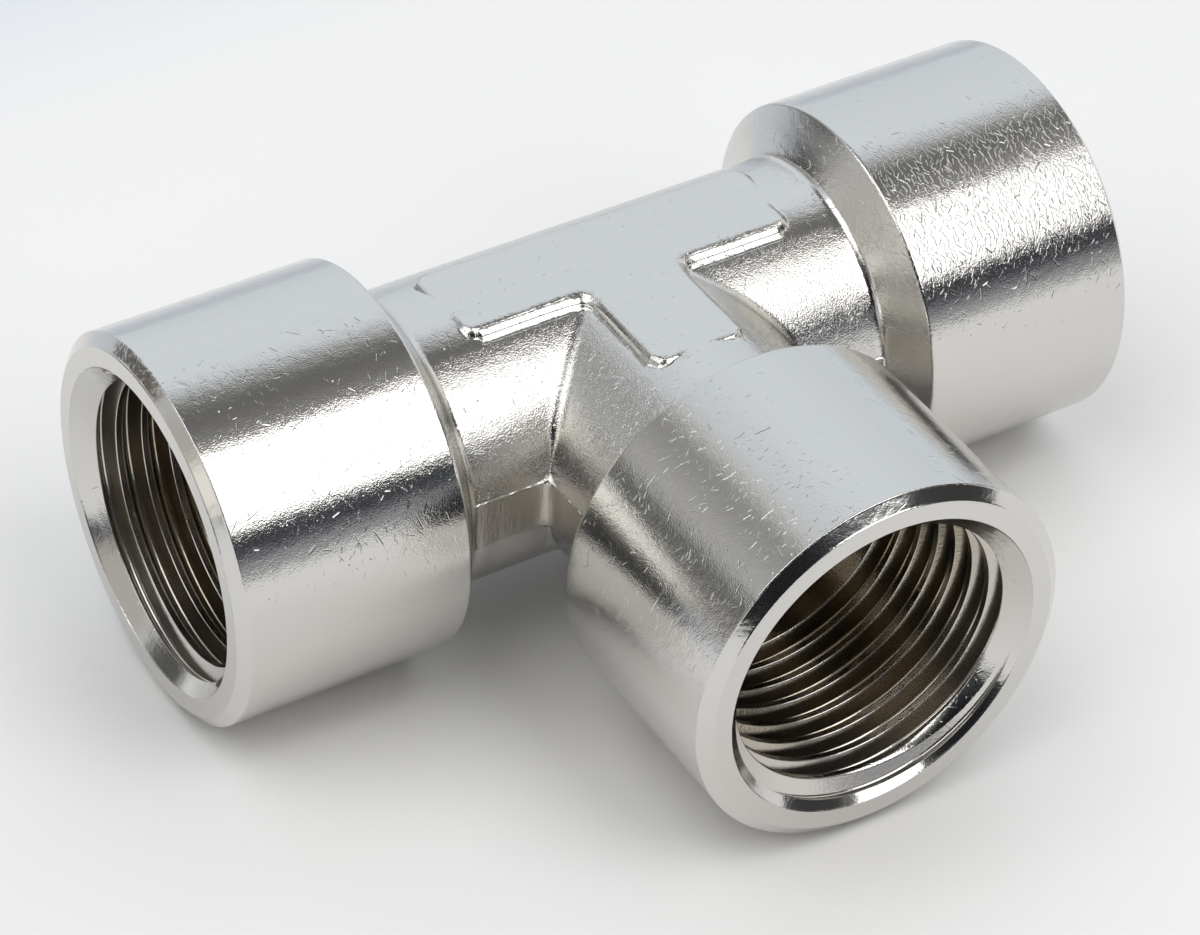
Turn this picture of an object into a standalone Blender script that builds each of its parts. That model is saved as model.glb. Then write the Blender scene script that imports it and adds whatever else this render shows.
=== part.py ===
"""Equal tee connector with three internally threaded sockets, one hot-forged and machined brass body.

Metres, +Z up. The run lies along X and the branch points along -Y. The origin is on the surface that the part
rests on, in the middle of its plan. All the constants below are in millimetres.
"""

import math

import bmesh
import bpy
import numpy as np

# ---- driving dimensions (mm) -------------------------------------------------------------------------------------
SOCKET_R = 13.0            # outside of the three socket barrels
REACH = 33.0               # from the crossing of the axes to each socket's end face
SHOULDER_AT = 17.15        # where each barrel starts, measured from the crossing
SHOULDER_SLOPE = math.radians(30.0)  # the shoulder leans this far from a plane square to its axis
SHOULDER_ROUND = 0.32      # rounding between shoulder and barrel
NECK_R = 9.875             # outside of the necks between the sockets
ROOT_FILLET = 0.8          # between neck and shoulder
EDGE_CHAMFER_AXIAL = 0.65  # outside edge of a socket's mouth
EDGE_CHAMFER_RADIAL = 0.86
FACE_INNER_R = 10.88       # inner edge of a socket's end face, where its 45 degree countersink begins
THREAD_CREST_R = 9.45      # bore of a G1/2 socket at the thread's crests, where the countersink ends
BORE_DEPTH = 16.3          # from the end face to the bottom corner of the bore; the thread takes the first 15 mm
DRILL_HALF_ANGLE = math.radians(60.0)
WAY_R = 7.75               # the through way that joins the three sockets
PAD_HEIGHT = 9.875         # the flat T-shaped pads, above and below, from the plane of the axes
PAD_FLAT_HALF = 2.30       # half the width over which a pad is flat, before its edge starts to fall
PAD_RUN_FLAT_END = 11.1    # the same limit along the run
PAD_BRANCH_FLAT_END = 10.8  # and along the branch
PAD_CORNER = 0.9           # rounding of the recesses' inner corner, in plan
PAD_EDGE_ROUND = 1.05
PAD_CROWN = 0.244          # the edge first falls as this times the distance squared ...
PAD_CROWN_WIDTH = 0.55     # ... over this width, and then over the tighter rounding
PAD_WALL_ANGLE = math.radians(56.0)
TRIM_AT = 9.72             # the flash at the parting plane is trimmed to a wall this far from the axes' plane
TRIM_END = 15.3            # along the neck, where the trimmed wall stops
TRIM_CORNER = 1.15         # rounding of the trimmed wall in the inner corners, in plan
VALLEY_TIGHT = 0.35        # blend of the necks high up
VALLEY_WIDE = 0.9          # and at the parting plane
CENTRE_Y = 10.0            # the crossing of the axes in the part's frame
CENTRE_Z = SOCKET_R

# Angles of the lines along the arms, from the top of a neck round to its bottom, closer where the pads' edges and the
# trimmed wall lie.
QUARTER = [0.0, 7.0, 13.0, 15.6, 18.0, 19.6, 21.4, 24.0, 31.5, 39.5, 47.5, 55.5, 63.5, 71.5, 79.85, 84.9, 90.0]
ANGLES = [math.radians(a) for a in QUARTER + [180.0 - a for a in QUARTER[-2::-1]]]


def profile_points():
    """A socket's outline from the neck to the through way as (distance along the axis, radius)."""
    along = (math.sin(SHOULDER_SLOPE), math.cos(SHOULDER_SLOPE))
    out = []
    # rounding between the shoulder's cone and the barrel
    turn = math.pi / 2 - SHOULDER_SLOPE
    reach = SHOULDER_ROUND * math.tan(turn / 2)
    start = (SHOULDER_AT - reach * along[0], SOCKET_R - reach * along[1])
    centre = (SHOULDER_AT + reach, SOCKET_R - SHOULDER_ROUND)
    out.append(start)
    for k in (1, 2):
        a = math.pi / 2 + turn * (1 - k / 2)
        out.append((centre[0] + SHOULDER_ROUND * math.cos(a), centre[1] + SHOULDER_ROUND * math.sin(a)))
    out.append((REACH - EDGE_CHAMFER_AXIAL, SOCKET_R))
    out.append((REACH, SOCKET_R - EDGE_CHAMFER_RADIAL))
    out.append((REACH, FACE_INNER_R))
    out.append((REACH - (FACE_INNER_R - THREAD_CREST_R), THREAD_CREST_R))
    out.append((REACH - BORE_DEPTH, THREAD_CREST_R))
    out.append((REACH - BORE_DEPTH - (THREAD_CREST_R - WAY_R) / math.tan(DRILL_HALF_ANGLE), WAY_R))
    return out


def neck_radius(a):
    """Radius of the neck, its root fillet and the first part of the shoulder at the distance a along the axis."""
    t = math.tan(SHOULDER_SLOPE)
    corner = SHOULDER_AT - (SOCKET_R - NECK_R) * t
    turn = math.pi / 2 - SHOULDER_SLOPE
    reach = ROOT_FILLET * math.tan(turn / 2)
    a0 = corner - reach
    a1 = corner + reach * math.sin(SHOULDER_SLOPE)
    a = np.asarray(a, float)
    arc = NECK_R + ROOT_FILLET - np.sqrt(np.maximum(ROOT_FILLET**2 - (np.clip(a, a0, a1) - a0) ** 2, 0.0))
    cone = SOCKET_R - (SHOULDER_AT - a) / t
    return np.where(a <= a0, NECK_R, np.where(a >= a1, cone, arc))


def smooth_min(a, b, k):
    h = np.maximum(k - np.abs(a - b), 0.0) / np.maximum(k, 1e-9)
    return np.minimum(a, b) - h * h * k * 0.25


def smooth_max(a, b, k):
    return -smooth_min(-a, -b, k)


def ramp(x, low, high):
    t = np.clip((x - low) / (high - low), 0.0, 1.0)
    return t * t * (3.0 - 2.0 * t)


def pad_distance(x, y):
    """Distance in plan outside the T over which the pads are flat; negative inside it."""
    bar = np.maximum(np.abs(y) - PAD_FLAT_HALF, np.abs(x) - PAD_RUN_FLAT_END)
    bar_out = np.hypot(np.maximum(np.abs(y) - PAD_FLAT_HALF, 0), np.maximum(np.abs(x) - PAD_RUN_FLAT_END, 0))
    bar = np.where(bar > 0, bar_out, bar)
    stem = np.maximum(np.abs(x) - PAD_FLAT_HALF, -y - PAD_BRANCH_FLAT_END)
    stem_out = np.hypot(np.maximum(np.abs(x) - PAD_FLAT_HALF, 0), np.maximum(-y - PAD_BRANCH_FLAT_END, 0))
    stem = np.where(stem > 0, stem_out, stem)
    stem = np.where(y > 0, bar, stem)
    return smooth_min(bar, stem, PAD_CORNER)


def pad_drop(s):
    """How far a pad's surface lies under its flat at the distance s outside that flat, and the slope there."""
    s = np.maximum(s, 0.0)
    crown = PAD_CROWN * s * s
    a0 = math.atan(2 * PAD_CROWN * PAD_CROWN_WIDTH)
    s0, d0 = PAD_CROWN_WIDTH, PAD_CROWN * PAD_CROWN_WIDTH**2
    cs, cd = s0 - PAD_EDGE_ROUND * math.sin(a0), d0 + PAD_EDGE_ROUND * math.cos(a0)
    s1 = cs + PAD_EDGE_ROUND * math.sin(PAD_WALL_ANGLE)
    d1 = cd - PAD_EDGE_ROUND * math.cos(PAD_WALL_ANGLE)
    arc = cd - np.sqrt(np.maximum(PAD_EDGE_ROUND**2 - (np.clip(s, s0, s1) - cs) ** 2, 0.0))
    wall = d1 + (s - s1) * math.tan(PAD_WALL_ANGLE)
    drop = np.where(s <= s0, crown, np.where(s <= s1, arc, wall))
    slope = np.where(
        s <= s0,
        2 * PAD_CROWN * s,
        np.where(s <= s1, (s - cs) / np.sqrt(np.maximum(PAD_EDGE_ROUND**2 - (np.clip(s, s0, s1) - cs) ** 2, 1e-6)), math.tan(PAD_WALL_ANGLE)),
    )
    return drop, slope


def middle_field(p):
    """Signed field of the forged middle, in mm: negative in the metal, zero on its surface."""
    x, y, z = p[..., 0], p[..., 1], p[..., 2]
    run = np.hypot(y, z) - neck_radius(np.abs(x))
    branch = np.where(y < 0, np.hypot(x, z) - neck_radius(-y), 9.0)
    blend = VALLEY_TIGHT * np.clip(1.0 - (np.abs(z) / NECK_R) ** 2, 0.0, 1.0) + VALLEY_WIDE * ramp(-np.abs(z), -4.6, -1.2)
    body = smooth_min(run, branch, blend)
    s = pad_distance(x, y)
    drop, slope = pad_drop(s)
    pad = (np.abs(z) - (PAD_HEIGHT - drop)) / np.sqrt(1.0 + slope * slope)
    body = smooth_min(body, pad, 0.3 * ramp(s, 0.6, 1.1))
    along_run = np.abs(y) - TRIM_AT
    along_branch = np.where(y < 0, np.abs(x) - TRIM_AT, 9.0)
    wall = smooth_min(along_run, along_branch, TRIM_CORNER)
    past_end = TRIM_END - np.maximum(np.abs(x), -y)
    wall = smooth_min(wall, past_end, 0.5)
    return smooth_max(body, wall, 0.06)


def settle(p):
    """Move points on to the surface of the forged middle, along its steepest direction."""
    p = np.array(p, float)
    h = 1e-4
    for _ in range(14):
        f = middle_field(p)
        g = np.stack([(middle_field(p + d) - middle_field(p - d)) / (2 * h) for d in np.eye(3) * h], -1)
        n = np.maximum((g * g).sum(-1, keepdims=True), 0.2)
        p -= np.clip(f[..., None] * g / n, -0.5, 0.5)
    return p


def build_body():
    n = len(ANGLES) - 1
    bm = bmesh.new()
    make = lambda x, y, z: bm.verts.new((x / 1000, (y + CENTRE_Y) / 1000, (z + CENTRE_Z) / 1000))

    # arm: 0 left (-X), 1 right (+X), 2 branch (-Y). Each ring runs over both halves of the neck: half 0 is the side
    # towards -Y on the run and towards -X on the branch, half 1 the other.
    def place(arm, half, a, r, phi):
        side, up = r * math.sin(phi), r * math.cos(phi)
        if arm == 2:
            return ((-side if half == 0 else side), -a, up)
        return ((-a if arm == 0 else a), (-side if half == 0 else side), up)

    def seam_point(kind, phi, r):
        side, up = r * math.sin(phi), r * math.cos(phi)
        return {"left": (-side, -side, up), "right": (side, -side, up), "back": (0.0, side, up)}[kind]

    def ring_order(first, second):
        """One closed loop of vertices: down the first half and back up the second."""
        return first + second[-2:0:-1]

    seams = {(0, 0): "left", (0, 1): "back", (1, 0): "right", (1, 1): "back", (2, 0): "left", (2, 1): "right"}

    def skin(rings, flip):
        for one, two in zip(rings, rings[1:]):
            count = len(one)
            for i in range(count):
                j = (i + 1) % count
                quad = [one[i], one[j], two[j], two[i]]
                quad = [v for k, v in enumerate(quad) if v not in quad[:k]]
                if len(quad) > 2:
                    bm.faces.new(quad[::-1] if flip else quad)

    def turns_left(arm):
        return arm in (1, 2)

    # --- the forged middle -----------------------------------------------------------------------------------------
    seam_verts = {}
    top = settle([[0.0, 0.0, NECK_R]])[0]
    bottom = settle([[0.0, 0.0, -NECK_R]])[0]
    pole_top, pole_bottom = make(*top), make(*bottom)
    for kind in ("left", "right", "back"):
        pts = settle([seam_point(kind, phi, NECK_R) for phi in ANGLES[1:-1]])
        if kind == "back":
            pts[:, 0] = 0.0
        else:
            m = (np.abs(pts[:, 0]) + np.abs(pts[:, 1])) / 2
            pts[:, 0] = np.copysign(m, pts[:, 0])
            pts[:, 1] = -m
        seam_verts[kind] = [pole_top] + [make(*q) for q in pts] + [pole_bottom]

    shared_part = [0.10, 0.22, 0.42, 0.72, 1.0]      # shares of the way from the seam to the pads' ends
    fixed_part = [11.95, 12.35, 13.4, 14.85, 15.2, 15.577]
    pads_end = 11.3
    outer_rings = {}
    for arm in range(3):
        rings = [ring_order(seam_verts[seams[arm, 0]], seam_verts[seams[arm, 1]])]
        rows = [("share", t) for t in shared_part] + [("at", a) for a in fixed_part]
        for how, value in rows:
            halves = []
            for half in (0, 1):
                line = []
                for phi in ANGLES:
                    start = 0.0 if seams[arm, half] == "back" else NECK_R * math.sin(phi)
                    a = start + (pads_end - start) * value if how == "share" else value
                    line.append(place(arm, half, a, float(neck_radius(a)), phi))
                settled = settle(line)
                for q, raw in zip(settled, line):
                    # a point keeps its place along the arm and its side's symmetry plane
                    if arm == 2:
                        q[1] = raw[1]
                    else:
                        q[0] = raw[0]
                settled[0][0 if arm == 2 else 1] = 0.0
                settled[-1][0 if arm == 2 else 1] = 0.0
                halves.append(settled)
            first = [make(*q) for q in halves[0]]
            second = [first[0]] + [make(*q) for q in halves[1][1:-1]] + [first[-1]]
            rings.append(ring_order(first, second))
        outer_rings[arm] = rings

    # --- the sockets: one outline turned about each axis, out over the mouth and back in -----------------------------
    outline = profile_points()
    for arm in range(3):
        rings = outer_rings[arm]
        for a, r in outline:
            first = [make(*place(arm, 0, a, r, phi)) for phi in ANGLES]
            second = [first[0]] + [make(*place(arm, 1, a, r, phi)) for phi in ANGLES[1:-1]] + [first[-1]]
            rings.append(ring_order(first, second))

    # --- the through way: the three bores meet in mitres ---------------------------------------------------------------
    inner = {}
    in_top, in_bottom = make(0, 0, WAY_R), make(0, 0, -WAY_R)
    for kind in ("left", "right", "back"):
        inner[kind] = [in_top] + [make(*seam_point(kind, phi, WAY_R)) for phi in ANGLES[1:-1]] + [in_bottom]
    for arm in range(3):
        rings = outer_rings[arm]
        a = 10.4
        first = [make(*place(arm, 0, a, WAY_R, phi)) for phi in ANGLES]
        second = [first[0]] + [make(*place(arm, 1, a, WAY_R, phi)) for phi in ANGLES[1:-1]] + [first[-1]]
        rings.append(ring_order(first, second))
        rings.append(ring_order(inner[seams[arm, 0]], inner[seams[arm, 1]]))
        skin(rings, flip=turns_left(arm))

    bmesh.ops.recalc_face_normals(bm, faces=bm.faces)
    bmesh.ops.triangulate(bm, faces=bm.faces)
    mesh = bpy.data.meshes.new("tee_body")
    bm.to_mesh(mesh)
    bm.free()
    mesh.shade_smooth()
    mesh.set_sharp_from_angle(angle=math.radians(28))
    return mesh


def nickel():
    material = bpy.data.materials.new("nickel_plate")
    material.use_nodes = True
    shader = material.node_tree.nodes["Principled BSDF"]
    shader.inputs["Base Color"].default_value = (0.66, 0.64, 0.60, 1.0)
    shader.inputs["Metallic"].default_value = 1.0
    shader.inputs["Roughness"].default_value = 0.16
    material.diffuse_color = (0.66, 0.64, 0.60, 1.0)
    return material


for old in list(bpy.data.objects):
    bpy.data.objects.remove(old, do_unlink=True)

body = bpy.data.objects.new("tee_body", build_body())
body.data.materials.append(nickel())
bpy.context.scene.collection.objects.link(body)
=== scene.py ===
"""Looks of the nickel-plated tee connector: one closed mesh with its helical threads, the studio and the camera.

The mesh is computed in millimetres with the crossing of the three axes at the origin, the run along X, the branch
towards -Y and +Z up, and is moved into the part's frame at the end.
"""
import math

import bpy
import numpy as np
from mathutils import Matrix, Vector


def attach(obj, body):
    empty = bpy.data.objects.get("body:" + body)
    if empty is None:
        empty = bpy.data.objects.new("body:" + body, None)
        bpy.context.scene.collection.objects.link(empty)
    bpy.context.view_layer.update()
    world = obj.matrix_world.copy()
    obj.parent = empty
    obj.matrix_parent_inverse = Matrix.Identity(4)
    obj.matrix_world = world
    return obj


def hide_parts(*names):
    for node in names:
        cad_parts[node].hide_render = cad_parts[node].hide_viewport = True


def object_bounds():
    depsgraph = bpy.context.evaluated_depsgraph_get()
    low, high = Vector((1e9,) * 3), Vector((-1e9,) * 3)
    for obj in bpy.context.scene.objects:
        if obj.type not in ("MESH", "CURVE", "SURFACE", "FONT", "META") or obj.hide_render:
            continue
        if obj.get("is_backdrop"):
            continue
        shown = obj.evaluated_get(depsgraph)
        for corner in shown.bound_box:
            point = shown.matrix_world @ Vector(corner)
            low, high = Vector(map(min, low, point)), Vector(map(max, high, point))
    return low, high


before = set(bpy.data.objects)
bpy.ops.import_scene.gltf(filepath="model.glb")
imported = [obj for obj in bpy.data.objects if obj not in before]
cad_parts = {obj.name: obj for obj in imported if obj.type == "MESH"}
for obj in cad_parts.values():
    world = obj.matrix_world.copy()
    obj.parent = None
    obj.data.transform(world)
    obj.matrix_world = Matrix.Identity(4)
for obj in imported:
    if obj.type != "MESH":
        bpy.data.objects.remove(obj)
cad_box = [list(v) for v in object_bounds()]

# ---- dimensions (mm) ------------------------------------------------------------------------------------------------
CENTRE = np.array([0.0, 10.0, 13.0])   # the crossing of the axes in the part's frame
SOCKET_R = 13.0
REACH = 33.0
SHOULDER_AT = 17.15
SHOULDER_SLOPE = math.radians(30.0)
SHOULDER_ROUND = 0.32
NECK_R = 9.875
ROOT_FILLET = 0.8
EDGE_CHAMFER_AXIAL = 0.65
EDGE_CHAMFER_RADIAL = 0.86
FACE_INNER_R = 10.88
THREAD_CREST_R = 9.45                  # the countersink is a 45 degree cone from the face down to this
THREAD_ROOT_R = 10.4775
THREAD_ROOT_ROUND = 0.249
THREAD_APEX_R = 10.7677                # where the thread's straight flanks would meet
THREAD_FLANK = math.radians(27.5)
PITCH = 25.4 / 14
TURNS = 8
FIRST_MIDDLE = 0.34                    # depth of the groove's middle where it runs out through the countersink
BORE_DEPTH = 16.3
DRILL_HALF_ANGLE = math.radians(60.0)
WAY_R = 7.75
PAD_HEIGHT = 9.875
PAD_FLAT_HALF = 2.30
PAD_RUN_FLAT_END = 11.1
PAD_BRANCH_FLAT_END = 10.8
PAD_CORNER = 1.6
PAD_EDGE_ROUND = 1.05
PAD_CROWN = 0.244
PAD_CROWN_WIDTH = 0.55
PAD_WALL_ANGLE = math.radians(62.0)
TRIM_AT = 9.72
TRIM_END = 15.3
TRIM_CORNER = 1.15
VALLEY_TIGHT = 0.24
VALLEY_WIDE = 0.90

# Angles of the lines that run along the arms, in degrees from the top of a neck; closer at the pads' edges and at the
# trimmed wall.
QUARTER = (
    [0, 2.6, 5.2, 7.8, 10.4, 12.4, 13.6]
    + [14.5 + 0.85 * k for k in range(12)]
    + [25.2, 27.2, 29.6]
    + [32.3 + 2.95 * k for k in range(15)]
    + [76.2, 77.8, 78.6, 79.1, 79.4, 79.65, 79.9, 80.2, 80.8, 82.2, 84.6, 90.0]
)
LINES = np.radians(np.array(QUARTER + [180.0 - a for a in QUARTER[-2::-1]]))
HALF = len(LINES)
RING = 2 * (HALF - 1)


# ---- waves for uneven forged and trimmed surfaces -----------------------------------------------------------------------
def waves(p, length, count, seed):
    """A smooth uneven field of about unit height, made of plane waves near one wavelength."""
    rng = np.random.default_rng(seed)
    k = rng.normal(size=(count, p.shape[-1]))
    k /= np.linalg.norm(k, axis=1, keepdims=True)
    k *= 2 * math.pi / (length * rng.uniform(0.7, 1.5, (count, 1)))
    phase = rng.uniform(0, 2 * math.pi, count)
    out = np.zeros(p.shape[:-1])
    for a, b in zip(k, phase):
        out += np.sin(p @ a + b)
    return out * math.sqrt(2.0 / count)


# ---- the forged middle, as a field that is zero on its surface ------------------------------------------------------------
def neck_radius(a):
    t = math.tan(SHOULDER_SLOPE)
    corner = SHOULDER_AT - (SOCKET_R - NECK_R) * t
    reach = ROOT_FILLET * math.tan((math.pi / 2 - SHOULDER_SLOPE) / 2)
    a0, a1 = corner - reach, corner + reach * math.sin(SHOULDER_SLOPE)
    arc = NECK_R + ROOT_FILLET - np.sqrt(np.maximum(ROOT_FILLET**2 - (np.clip(a, a0, a1) - a0) ** 2, 0.0))
    return np.where(a <= a0, NECK_R, np.where(a >= a1, SOCKET_R - (SHOULDER_AT - a) / t, arc))


def smooth_min(a, b, k):
    h = np.maximum(k - np.abs(a - b), 0.0) / np.maximum(k, 1e-9)
    return np.minimum(a, b) - h * h * k * 0.25


def smooth_max(a, b, k):
    return -smooth_min(-a, -b, k)


def ramp(x, low, high):
    t = np.clip((x - low) / (high - low), 0.0, 1.0)
    return t * t * (3.0 - 2.0 * t)


def pad_distance(x, y):
    ax, ay = np.abs(x), np.abs(y)
    bar = np.maximum(ay - PAD_FLAT_HALF, ax - PAD_RUN_FLAT_END)
    bar = np.where(bar > 0, np.hypot(np.maximum(ay - PAD_FLAT_HALF, 0), np.maximum(ax - PAD_RUN_FLAT_END, 0)), bar)
    stem = np.maximum(ax - PAD_FLAT_HALF, -y - PAD_BRANCH_FLAT_END)
    stem = np.where(stem > 0, np.hypot(np.maximum(ax - PAD_FLAT_HALF, 0), np.maximum(-y - PAD_BRANCH_FLAT_END, 0)), stem)
    return smooth_min(bar, np.where(y > 0, bar, stem), PAD_CORNER)


def pad_drop(s):
    s = np.maximum(s, 0.0)
    a0 = math.atan(2 * PAD_CROWN * PAD_CROWN_WIDTH)
    s0, d0 = PAD_CROWN_WIDTH, PAD_CROWN * PAD_CROWN_WIDTH**2
    cs, cd = s0 - PAD_EDGE_ROUND * math.sin(a0), d0 + PAD_EDGE_ROUND * math.cos(a0)
    s1 = cs + PAD_EDGE_ROUND * math.sin(PAD_WALL_ANGLE)
    d1 = cd - PAD_EDGE_ROUND * math.cos(PAD_WALL_ANGLE)
    rise = np.sqrt(np.maximum(PAD_EDGE_ROUND**2 - (np.clip(s, s0, s1) - cs) ** 2, 1e-6))
    t = math.tan(PAD_WALL_ANGLE)
    drop = np.where(s <= s0, PAD_CROWN * s * s, np.where(s <= s1, cd - rise, d1 + (s - s1) * t))
    slope = np.where(s <= s0, 2 * PAD_CROWN * s, np.where(s <= s1, (s - cs) / rise, t))
    return drop, slope


def middle_field(p):
    x, y, z = p[..., 0], p[..., 1], p[..., 2]
    az = np.abs(z)
    uneven = 0.004 * waves(p, 5.0, 14, 3) + 0.0022 * waves(p, 1.9, 18, 4)
    run = np.hypot(y, z) - neck_radius(np.abs(x)) + uneven
    branch = np.where(y < 0, np.hypot(x, z) - neck_radius(-y), 9.0) + uneven
    # the valleys are sharp low down, and open out above
    blend = np.clip(1.0 - (az / NECK_R) ** 2, 0.0, 1.0) * (VALLEY_TIGHT + VALLEY_WIDE * (ramp(az, 3.2, 5.4) + 1.1 * ramp(-az, -2.3, -1.7)))
    body = smooth_min(run, branch, blend)
    # the lower die's half is a little slimmer beside the trimmed wall
    near = ramp(-np.maximum(np.abs(x), -y), -14.4, -13.2)
    body = body + 0.10 * ramp(-z, 0.1, 1.0) * ramp(z, -8.0, -5.0) * near
    edge = 0.014 * waves(p[..., :2], 2.6, 10, 6) + 0.008 * waves(p[..., :2], 0.9, 10, 7)
    s = pad_distance(x, y) + edge
    # the stem's sides are steeper than the bar's, and so are all the ends
    stem = ramp(-y - np.abs(x), -1.2, 1.2)
    end = np.maximum(ramp(np.abs(x), 11.0, 11.5), ramp(-y, 10.7, 11.2))
    s = s - stem * (1.0 - end) * 0.52 - end * 0.30
    s = np.where(s > 0, s * (1.0 + 0.9 * stem * (1.0 - end) + 0.6 * end), s)
    # the pads fade out where they run level with the crest of a neck
    lateral = np.where(y > 0, np.abs(y), np.minimum(np.abs(x), np.abs(y)))
    clear = ramp(lateral, 1.0, 2.6)
    body = body + 0.016 * clear * (1.0 - end) * np.exp(-(((s - 1.50) / 0.085) ** 2))
    drop, slope = pad_drop(s)
    pad = (az - (PAD_HEIGHT - drop) + uneven) / np.sqrt(1.0 + slope * slope)
    body = smooth_min(body, pad, 0.16 * clear * ramp(s, 0.6, 1.1))
    rough = 0.004 * waves(p[..., :2], 1.6, 12, 8) + 0.0016 * waves(p[..., :2], 0.4, 14, 9)
    torn = np.exp(-(((az - 1.74) / 0.3) ** 2))
    rough = rough + torn * (0.012 * waves(p, 0.9, 10, 10) + 0.008 * waves(p, 0.42, 12, 11))
    wall_run = np.abs(y) - TRIM_AT + rough
    wall_branch = np.where(y < 0, np.abs(x) - TRIM_AT + rough, 9.0)
    wall = smooth_min(wall_run, wall_branch, TRIM_CORNER)
    wall = smooth_min(wall, TRIM_END - np.maximum(np.abs(x), -y), 0.5)
    # a burr stands along the trimmed wall's upper and outer edges
    lip = 0.062 + 0.022 * waves(p[..., :2], 0.7, 12, 12)
    ends = 0.9 * np.exp(-(((np.maximum(np.abs(x), -y) - 15.27) / 0.07) ** 2)) * ramp(-az, -1.85, -1.7)
    inside = ramp(-np.maximum(np.abs(x), -y), -15.45, -15.2)
    return smooth_max(body, wall, 0.04) - lip * np.maximum(np.exp(-(((az - 1.80) / 0.08) ** 2)) * ramp(z, -1.0, 0.0) * inside, ends)


def gradient(p, h=2e-3):
    return np.stack([(middle_field(p + d) - middle_field(p - d)) / (2 * h) for d in np.eye(3) * h], -1)


def settle(p, hold=None):
    """Move points on to the forged middle's surface, keeping the coordinate `hold`."""
    p = np.array(p, float)
    for _ in range(6):
        g = gradient(p, 1e-3)
        if hold is not None:
            g[..., hold] = 0.0
        n = np.maximum((g * g).sum(-1, keepdims=True), 0.15)
        p -= np.clip(middle_field(p)[..., None] * g / n, -0.4, 0.4)
    return p


# ---- places on an arm: 0 left, 1 right, 2 branch ---------------------------------------------------------------------------
PHI = np.concatenate([LINES, LINES[-2:0:-1]])          # round a whole ring, from the top down side 0 and up side 1
SIDE = np.concatenate([-np.ones(HALF), np.ones(HALF - 2)])
SIDE[0] = SIDE[HALF - 1] = 0.0


def place(arm, a, r):
    """Points of a ring at the distance a along the arm's axis and the radius r; a and r may vary round the ring."""
    a, r = np.broadcast_to(a, PHI.shape), np.broadcast_to(r, PHI.shape)
    side, up = SIDE * r * np.sin(PHI), r * np.cos(PHI)
    if arm == 2:
        return np.stack([side, -a, up], -1)
    return np.stack([-a if arm == 0 else a, side, up], -1)


def arm_normals(arm, na, nr):
    return place(arm, na, nr)


class Skin:
    """Vertices in mm, with a normal where one is known, and faces."""

    def __init__(self):
        self.points, self.normals, self.faces, self.slots = [], [], [], []
        self.slot = 0

    def add(self, points, normals=None):
        points = np.asarray(points, float).reshape(-1, 3)
        normals = np.zeros_like(points) if normals is None else np.asarray(normals, float).reshape(-1, 3)
        first = len(self.points)
        self.points.extend(points.tolist())
        self.normals.extend(normals.tolist())
        return list(range(first, first + len(points)))

    def face(self, corners, flip):
        corners = [c for k, c in enumerate(corners) if c not in corners[:k]]
        if len(corners) > 2:
            self.faces.append(corners[::-1] if flip else corners)
            self.slots.append(self.slot)

    def bridge(self, one, two, flip):
        n = len(one)
        for i in range(n):
            j = (i + 1) % n
            self.face([one[i], one[j], two[j], two[i]], flip)


skin = Skin()

# ---- seams between the arms -------------------------------------------------------------------------------------------------


def seam_points(kind, r):
    side, up = r * np.sin(LINES), r * np.cos(LINES)
    return {
        "left": np.stack([-side, -side, up], -1),
        "right": np.stack([side, -side, up], -1),
        "back": np.stack([0 * side, side, up], -1),
    }[kind]


SEAMS = {0: ("left", "back"), 1: ("right", "back"), 2: ("left", "right")}


def closed(first, second):
    return list(first) + list(second[-2:0:-1])


def unit(v):
    return v / np.maximum(np.linalg.norm(v, axis=-1, keepdims=True), 1e-12)


def outer_seams():
    out, places = {}, {}
    pole = {}
    for kind in ("left", "right", "back"):
        pts = settle(seam_points(kind, NECK_R))
        if kind == "back":
            pts[:, 0] = 0.0
            pts = settle(pts, 0)
        else:
            m = (np.abs(pts[:, 0]) + np.abs(pts[:, 1])) / 2
            pts[:, 0], pts[:, 1] = np.copysign(m, pts[:, 0]), -m
        pts[0] = settle(np.array([0.0, 0.0, NECK_R]), None)
        pts[-1] = settle(np.array([0.0, 0.0, -NECK_R]), None)
        pts[0, :2] = pts[-1, :2] = 0.0
        n = unit(gradient(pts, 6e-3))
        if not pole:
            pole["top"] = skin.add([pts[0]], [n[0]])[0]
            pole["bottom"] = skin.add([pts[-1]], [n[-1]])[0]
        ids = [pole["top"]] + skin.add(pts[1:-1], n[1:-1]) + [pole["bottom"]]
        out[kind], places[kind] = ids, pts
    return out, places


seam_ids, seam_at = outer_seams()
PAD_ROWS_FROM = 10.25
shares = [0.010, 0.024, 0.042, 0.064, 0.090, 0.122, 0.160, 0.205, 0.26, 0.33, 0.41, 0.50, 0.60, 0.70, 0.80, 0.90, 1.0]
fixed = (
    [10.25 + 0.21 * k for k in range(1, 6)]
    + [11.3 + 0.115 * k for k in range(1, 12)]
    + [12.8, 13.1, 13.4, 13.7, 14.0, 14.3, 14.58, 14.78, 14.9, 15.0, 15.1, 15.2, 15.28, 15.34, 15.40, 15.46, 15.52, 15.577]
)


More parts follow.
